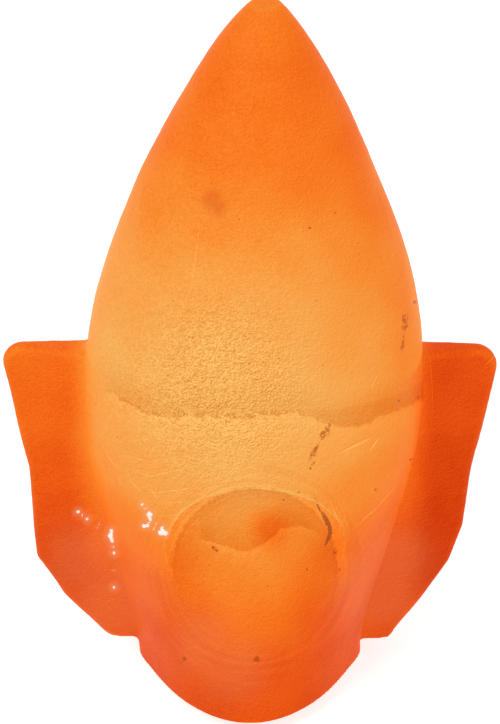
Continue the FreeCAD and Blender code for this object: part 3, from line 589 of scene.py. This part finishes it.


# the crease, in painted light and shade: a fine dark broken line, soft shade above it and a lit lip
# below
wander = math_node("ADD", spread(crumb, -0.9, 0.9), spread(grain, -0.3, 0.3))
height_over = math_node("ADD", stored("above_crease"), wander)
crease_soft = profile(height_over, ((-12, 0.0), (-4, 0.025), (-0.6, 0.045), (0.3, -0.05),
                                    (2.5, -0.075), (5.5, -0.045), (12, 0.0)))
crease_soft = math_node("MULTIPLY", crease_soft, stored("on_crease"))
crease_line = profile(height_over, ((-0.7, 0.0), (-0.3, 0.03), (0.0, -0.30), (0.35, -0.12),
                                    (0.9, 0.0)))
line_share = math_node("MULTIPLY", stored("crisp_crease"), mapped(grain, 0.36, 0.56, 0.25, 1.0))
crease_line = math_node("MULTIPLY", crease_line, line_share)

# the rim of the scoop: painted shade just inside, a thin painted lit edge just outside
rim_gap = math_node("ADD", stored("scoop_distance"), spread(crumb, -0.7, 0.7))
rim_tone = profile(rim_gap, ((SCOOP_RADIUS - 12, -0.02), (SCOOP_RADIUS - 1.6, -0.085),
                             (SCOOP_RADIUS - 0.3, -0.12), (SCOOP_RADIUS + 0.3, 0.03),
                             (SCOOP_RADIUS + 2.5, 0.015), (SCOOP_RADIUS + 6, 0.0)))
rim_tone = math_node("MULTIPLY", rim_tone, stored("upper_half"))

# painted shade in the recess at the top of the scoop, with a thin lit lip at the sharp edge that cuts
# it off below; that edge has a notch in it
recess_gap = math_node("ADD", stored("above_recess"), spread(crumb, -0.5, 0.5))
recess_tone = profile(recess_gap, ((-3, 0.0), (-0.3, 0.04), (0.2, -0.10), (5, -0.055), (11, 0.0)))
recess_tone = math_node("MULTIPLY", recess_tone, stored("in_recess"))

# a scratch has one lit side and one shaded side
scratch_side, scratch_gap, scratch_width = stored_three("scratch")
scratch_at = math_node("DIVIDE", scratch_side, scratch_width)
scratch_tone = profile(scratch_at, ((-2.6, 0.0), (-1.1, -0.10), (-0.4, 0.20), (0.5, 0.16),
                                    (1.0, 0.0)))
near_scratch = mapped(scratch_gap, 1.0, 1.5, 1.0, 0.0)
scratch_tone = math_node("MULTIPLY", scratch_tone, near_scratch)

# all tones are added up: painted light and shade on the grain, crease, rim, recess, scratches and
# chip, with the scraper strokes; they shift both the place on the scale of colours and the brightness
GRAIN_TONE, CRUMB_TONE, STROKE_TONE, CHIP_SHADE = 1.2, 0.8, 0.22, -0.05
TONE_TO_LEVEL, TONE_TO_VALUE = 0.7, 0.9
relief = math_node("ADD", math_node("MULTIPLY", grain_side, GRAIN_TONE),
                   math_node("MULTIPLY", crumb_side, CRUMB_TONE))
grain_share = mapped(stored("light_focus"), 0.0, 1.0, 0.25, 1.0)
tone = math_node("MULTIPLY", relief, grain_share)
for part in (crease_soft, crease_line, rim_tone, recess_tone, scratch_tone,
             math_node("MULTIPLY", stroke, STROKE_TONE),
             math_node("MULTIPLY", stored("chip_shade"), CHIP_SHADE)):
    tone = math_node("ADD", tone, part)
level = math_node("ADD", stored("glow"), spread(cloud, -0.05, 0.05))
level = math_node("ADD", level, math_node("MULTIPLY", tone, TONE_TO_LEVEL))
colour = colour_ramp(tree, level, GLOW_COLOURS)
value = math_node("ADD", math_node("MULTIPLY", tone, TONE_TO_VALUE), 1.0)
colour = add(tree, "VectorMath", {"operation": "SCALE"}, i0=colour, Scale=value).outputs[0]


def stained(colour, share, code):
    return add(tree, "Mix", {"data_type": "RGBA"}, Factor=share, i6=colour,
               i7=srgb(code)).outputs[2]


def mark_edge(name, rough_by, raggedness):
    """Millimetres outside a stored line mark, with a ragged edge; far from the line, far."""
    side, gap, width = stored_three(name)
    edge = math_node("SUBTRACT", math_node("ABSOLUTE", side), width)
    edge = math_node("ADD", edge, spread(rough_by, -raggedness, raggedness))
    return math_node("ADD", edge, mapped(gap, 1.6, 2.0, 0.0, FAR_MM))


def spot_edge(name):
    """Millimetres outside a stored round mark, with a slightly ragged edge."""
    right, down, radius = stored_three(name)
    distance = math_node("SQRT", math_node("ADD", math_node("MULTIPLY", right, right),
                                           math_node("MULTIPLY", down, down)))
    edge = math_node("SUBTRACT", distance, radius)
    return math_node("ADD", edge, spread(grain, -0.25, 0.25))


# inclusions: rust in trails and specks, brown cracks, red iron; and painted light: glints in the
# grain, a pale reflection on the lower lobes, white highlights
porous = mapped(grain, 0.44, 0.50, 0.0, 1.0)
rust_edge = mark_edge("rust", crumb, 0.7)
rusty = math_node("MULTIPLY", mapped(rust_edge, -0.2, 0.15, 0.8, 0.0), porous)
crack_edge = mark_edge("crack", grain, 0.2)
specks = add(tree, "TexVoronoi", {"feature": "F1"}, Vector=place, Scale=per(6.0))
speck = math_node("MULTIPLY", mapped(specks.outputs["Distance"], 0.04, 0.065, 0.65, 0.0),
                  mapped(noise_at(30.0, place), 0.5, 0.55, 0.0, 1.0))
# where the bulb's light is strongest the grain shows darker and lighter specks; the lighter ones are
# painted glints
dark_grain = math_node("MULTIPLY", mapped(grain, 0.30, 0.36, 0.40, 0.0), stored("light_focus"))
grain_glints = math_node("MULTIPLY", mapped(grain, 0.62, 0.70, 0.0, 0.55), stored("light_focus"))
colour = stained(colour, dark_grain, "#c07a2a")
colour = stained(colour, grain_glints, "#ffdc8c")
# a pale painted reflection on the lower lobes
colour = stained(colour, math_node("MULTIPLY", stored("haze_reflection"), 0.22), "#f4905c")
colour = stained(colour, math_node("MULTIPLY", stored("red"), 0.45), "#e2561c")
colour = stained(colour, speck, "#c0601c")
colour = stained(colour, rusty, "#bb5014")
colour = stained(colour, mapped(crack_edge, -0.15, 0.12, 0.85, 0.0), "#a64a20")
colour = stained(colour, mapped(spot_edge("pit"), -0.1, 0.2, 0.8, 0.0), "#b84c14")
# painted highlights, and a warm painted halo round each
highlight_gap = spot_edge("highlight_spot")
highlight_share = mapped(highlight_gap, -0.05, 0.25, 0.95, 0.0)
colour = stained(colour, mapped(highlight_gap, 0.0, 2.2, 0.30, 0.0), "#ffb080")
colour = stained(colour, highlight_share, "#fffaf5")

under = add(tree, "VectorMath", {"operation": "SCALE"}, i0=colour, Scale=SURFACE_SHARE)
grain_depth = mapped(stored("light_focus"), 0.0, 1.0, 0.18, 0.6)
bump = add(tree, "Bump", Height=grain, Strength=grain_depth, Distance=0.25 * MM)
bump = add(tree, "Bump", Height=crumb, Strength=0.15, Distance=0.4 * MM, Normal=bump.outputs[0])
bump = add(tree, "Bump", Height=strokes.outputs["Fac"], Strength=0.15, Distance=0.2 * MM,
           Normal=bump.outputs[0])
rough = math_node("SUBTRACT", spread(grain, 0.42, 0.62),
                  math_node("MULTIPLY", highlight_share, 0.3))
salt_shader = add(tree, "BsdfPrincipled", Base_Color=under.outputs[0], Roughness=rough,
                  IOR=SALT_IOR, Specular_IOR_Level=SALT_SHINE, Normal=bump.outputs[0],
                  Emission_Color=colour, Emission_Strength=INSIDE_SHARE)
finish_material(tree, salt_shader)
salt_mesh.materials.clear()
salt_mesh.materials.append(rock_salt)
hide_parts("salt_body")
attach(salt, "salt_block")

# %% [markdown]
# ## The hidden pieces
# Under and inside the block are the ring, its pad and screws, the cord's grommet, the lampholder
# and the bulb. Their packed forms are right, so they only need real finishes. Each has an even
# base colour broken by the trace of how it was made.

# %% One pattern of colour, roughness and bump for a made surface
def made_surface(name, light, dark, spacing_mm, stretch, roughness, depth_mm, metallic=0.0, ior=1.5):
    """A finish whose grain has a real spacing and a stretch along each axis."""
    material, tree = new_material(name)
    place = add(tree, "TexCoord").outputs["Object"]
    lie = add(tree, "Mapping", Vector=place, Scale=stretch)
    grain = add(tree, "TexNoise", Vector=lie.outputs[0], Scale=per(spacing_mm), Detail=4.0,
                Roughness=0.6)
    colour = colour_ramp(tree, grain.outputs["Fac"], ((0.3, dark), (0.7, light)))
    rough = add(tree, "MapRange", Value=grain.outputs["Fac"], To_Min=roughness[0],
                To_Max=roughness[1])
    bump = add(tree, "Bump", Height=grain.outputs["Fac"], Strength=0.5, Distance=depth_mm * MM)
    settings = {} if metallic else {"IOR": ior}
    shader = add(tree, "BsdfPrincipled", Base_Color=colour, Roughness=rough.outputs[0],
                 Metallic=metallic, Normal=bump.outputs[0], **settings)
    finish_material(tree, shader)
    return material


def dress(node, material):
    mesh = nodes[node].data
    mesh.materials.clear()
    mesh.materials.append(material)


# %% [markdown]
# Beech has short dark flecks along its grain, turned wood is sanded, and oil makes it satin.

# %% Turned beech
beech = made_surface("beech_turned_oiled", "#d0a272", "#a97845", 1.6, (0.12, 1.0, 1.0),
                     (0.42, 0.62), 0.08)
dress("base_ring", beech)

# %% [markdown]
# Moulded black rubber is never quite black. Talc and dust leave it a warm dark grey and matt.

# %% Moulded rubber
rubber = made_surface("rubber_moulded_black", "#2b2a29", "#1b1a1a", 0.8, (1.0, 1.0, 1.0),
                      (0.72, 0.9), 0.05, ior=1.52)
for node in ("foot_pad", "cord_grommet"):
    dress(node, rubber)

# %% [markdown]
# Zinc plate on steel screws is bluish and slightly cloudy. Spring steel is darker, with drawn
# lines along the strip.

# %% Steels
zinc = made_surface("steel_zinc_plated", "#c6cbd0", "#9aa1a8", 0.9, (1.0, 1.0, 1.0),
                    (0.28, 0.45), 0.02, metallic=1.0)
spring = made_surface("steel_spring_drawn", "#a3a6aa", "#7d8085", 0.5, (1.0, 1.0, 0.1),
                      (0.25, 0.42), 0.02, metallic=1.0)
for node in ("base_screws", "terminal_screws"):
    dress(node, zinc)
dress("clip_spring", spring)

# %% [markdown]
# Lampholders are pressed from phenolic resin, a hard brown-black plastic with a faint mottle and
# the shine of its mould. Steatite, the block that carries the terminals, is an off-white ceramic.

# %% Phenolic resin and steatite
phenolic = made_surface("phenolic_pressed", "#2a211c", "#17120f", 2.4, (1.0, 1.0, 1.0),
                        (0.26, 0.38), 0.03, ior=1.6)
steatite = made_surface("steatite_fired", "#e8e2d4", "#d3cbb9", 1.5, (1.0, 1.0, 1.0),
                        (0.45, 0.62), 0.04, ior=1.58)
for node in ("holder_cap", "entry_nipple", "holder_shell", "shade_ring"):
    dress(node, phenolic)
dress("insulator_block", steatite)

# %% [markdown]
# Brass parts are pressed from sheet and left bright. The bulb's cap is nickel plated, its tip is a
# drop of solder, and black glass insulates the two.

# %% Brass, nickel, solder and black glass
brass = made_surface("brass_pressed", "#dcb566", "#b8893e", 1.2, (1.0, 1.0, 1.0),
                     (0.22, 0.38), 0.02, metallic=1.0)
nickel = made_surface("nickel_plated_brass", "#cfc8ba", "#a8a194", 1.0, (1.0, 1.0, 1.0),
                      (0.2, 0.35), 0.02, metallic=1.0)
solder = made_surface("solder_dull", "#b4b7bb", "#8b8e93", 0.7, (1.0, 1.0, 1.0),
                      (0.35, 0.6), 0.05, metallic=1.0)
black_glass = made_surface("glass_black_moulded", "#16161a", "#0b0b0e", 1.0, (1.0, 1.0, 1.0),
                           (0.08, 0.16), 0.02, ior=1.55)
for node in ("screw_shell", "centre_contact"):
    dress(node, brass)
dress("bulb_cap", nickel)
dress("tip_contact", solder)
dress("cap_insulator", black_glass)

# %% [markdown]
# Clear glass is all shine: it has no colour of its own, and faint waves from the blowing.

# %% Clear glass
clear_glass, tree = new_material("glass_clear_blown")
place = add(tree, "TexCoord").outputs["Object"]
waves = add(tree, "TexNoise", Vector=place, Scale=per(9.0), Detail=1.0)
bump = add(tree, "Bump", Height=waves.outputs["Fac"], Strength=0.25, Distance=0.15 * MM)
rough = add(tree, "MapRange", Value=waves.outputs["Fac"], To_Min=0.01, To_Max=0.04)
shader = add(tree, "BsdfPrincipled", Base_Color=srgb("#f7fafa"), Roughness=rough.outputs[0],
             IOR=1.5, Transmission_Weight=1.0, Normal=bump.outputs[0])
finish_material(tree, shader)
for node in ("glass_envelope", "glass_stem"):
    dress(node, clear_glass)

# %% [markdown]
# The filament is tungsten, hot enough to glow yellow-white. Its two leads stay dark.

# %% Tungsten
leads = made_surface("molybdenum_wire", "#8d8a86", "#6b6865", 0.4, (1.0, 1.0, 0.2),
                     (0.3, 0.5), 0.01, metallic=1.0)
dress("lead_wires", leads)
tungsten, tree = new_material("tungsten_glowing")
place = add(tree, "TexCoord").outputs["Object"]
beads = add(tree, "TexNoise", Vector=place, Scale=per(0.8), Detail=2.0)
heat = colour_ramp(tree, beads.outputs["Fac"], ((0.3, "#ffb45a"), (0.7, "#ffe2ac")))
shader = add(tree, "BsdfPrincipled", Base_Color=srgb("#6b6865"), Metallic=1.0, Roughness=0.4,
             Emission_Color=heat, Emission_Strength=4.0)
finish_material(tree, shader)
dress("filament", tungsten)

# %% [markdown]
# ## Floor and backdrop
# The photograph has plain white all round. The floor is lit like any floor, so it takes a soft
# shadow, and the camera also sees a little light of its own in it, which lifts it to white.
# From below it is clear, so the underside of the lamp can be looked at.

# %% Floor
def seen_share(tree):
    """1 for rays that show a thing straight, mirrored or through glass, 0 for rays that light."""
    rays = add(tree, "LightPath").outputs
    seen = add(tree, "Math", {"operation": "MAXIMUM"}, i0=rays["Is Camera Ray"],
               i1=rays["Is Glossy Ray"])
    return add(tree, "Math", {"operation": "MAXIMUM"}, i0=seen.outputs[0],
               i1=rays["Is Transmission Ray"]).outputs[0]


FLOOR_SIZE = 6.0
FLOOR_LIFT = 0.72
floor_mesh = bpy.data.meshes.new("floor")
half = FLOOR_SIZE / 2.0
floor_mesh.from_pydata([(-half, -half, 0), (half, -half, 0), (half, half, 0), (-half, half, 0)], [],
                       [(0, 1, 2, 3)])
floor = bpy.data.objects.new("floor", floor_mesh)
bpy.context.scene.collection.objects.link(floor)
white_floor, tree = new_material("floor_white")
lifted = add(tree, "Math", {"operation": "MULTIPLY"}, i0=seen_share(tree), i1=FLOOR_LIFT)
paint = add(tree, "BsdfDiffuse", Color=srgb("#e6e6e6"))
light = add(tree, "Emission", Color=(1, 1, 1, 1), Strength=lifted.outputs[0])
both = add(tree, "AddShader", i0=paint.outputs[0], i1=light.outputs[0])
clear = add(tree, "BsdfTransparent")
below = add(tree, "NewGeometry").outputs["Backfacing"]
side = add(tree, "MixShader", i0=below, i1=both.outputs[0], i2=clear.outputs[0])
finish_material(tree, side)
floor_mesh.materials.append(white_floor)

# %% [markdown]
# ## Light
# A white room with one large soft lamp from the upper left and a weaker one from the right. The
# level is plain: a white card would come out just under white.

# %% World and lamps
ROOM_LEVEL = 0.4                        # light from the room; what is seen of it stays white
world = bpy.data.worlds.new("room")
world.use_nodes = True
bpy.context.scene.world = world
tree = world.node_tree
tree.nodes.clear()
room = add(tree, "Background", Color=(1, 1, 1, 1), Strength=ROOM_LEVEL)
white = add(tree, "Background", Color=(1, 1, 1, 1), Strength=1.0)
either = add(tree, "MixShader", i0=seen_share(tree), i1=room.outputs[0], i2=white.outputs[0])
add(tree, "OutputWorld", Surface=either.outputs[0])


def soft_lamp(name, where, size, watts):
    data = bpy.data.lights.new(name, "AREA")
    data.size = size
    data.energy = watts
    lamp = bpy.data.objects.new(name, data)
    lamp.location = where
    lamp.rotation_euler = (Vector(where) - AIM).to_track_quat("Z", "Y").to_euler()
    bpy.context.scene.collection.objects.link(lamp)


soft_lamp("key_lamp", (-0.7, -0.9, 1.1), 0.6, 8.0)
soft_lamp("fill_lamp", (0.9, -0.8, 0.5), 0.8, 2.5)

# %% [markdown]
# ## Finish
# Standard colour keeps the written colours.

bpy.context.scene.view_settings.view_transform = "Standard"
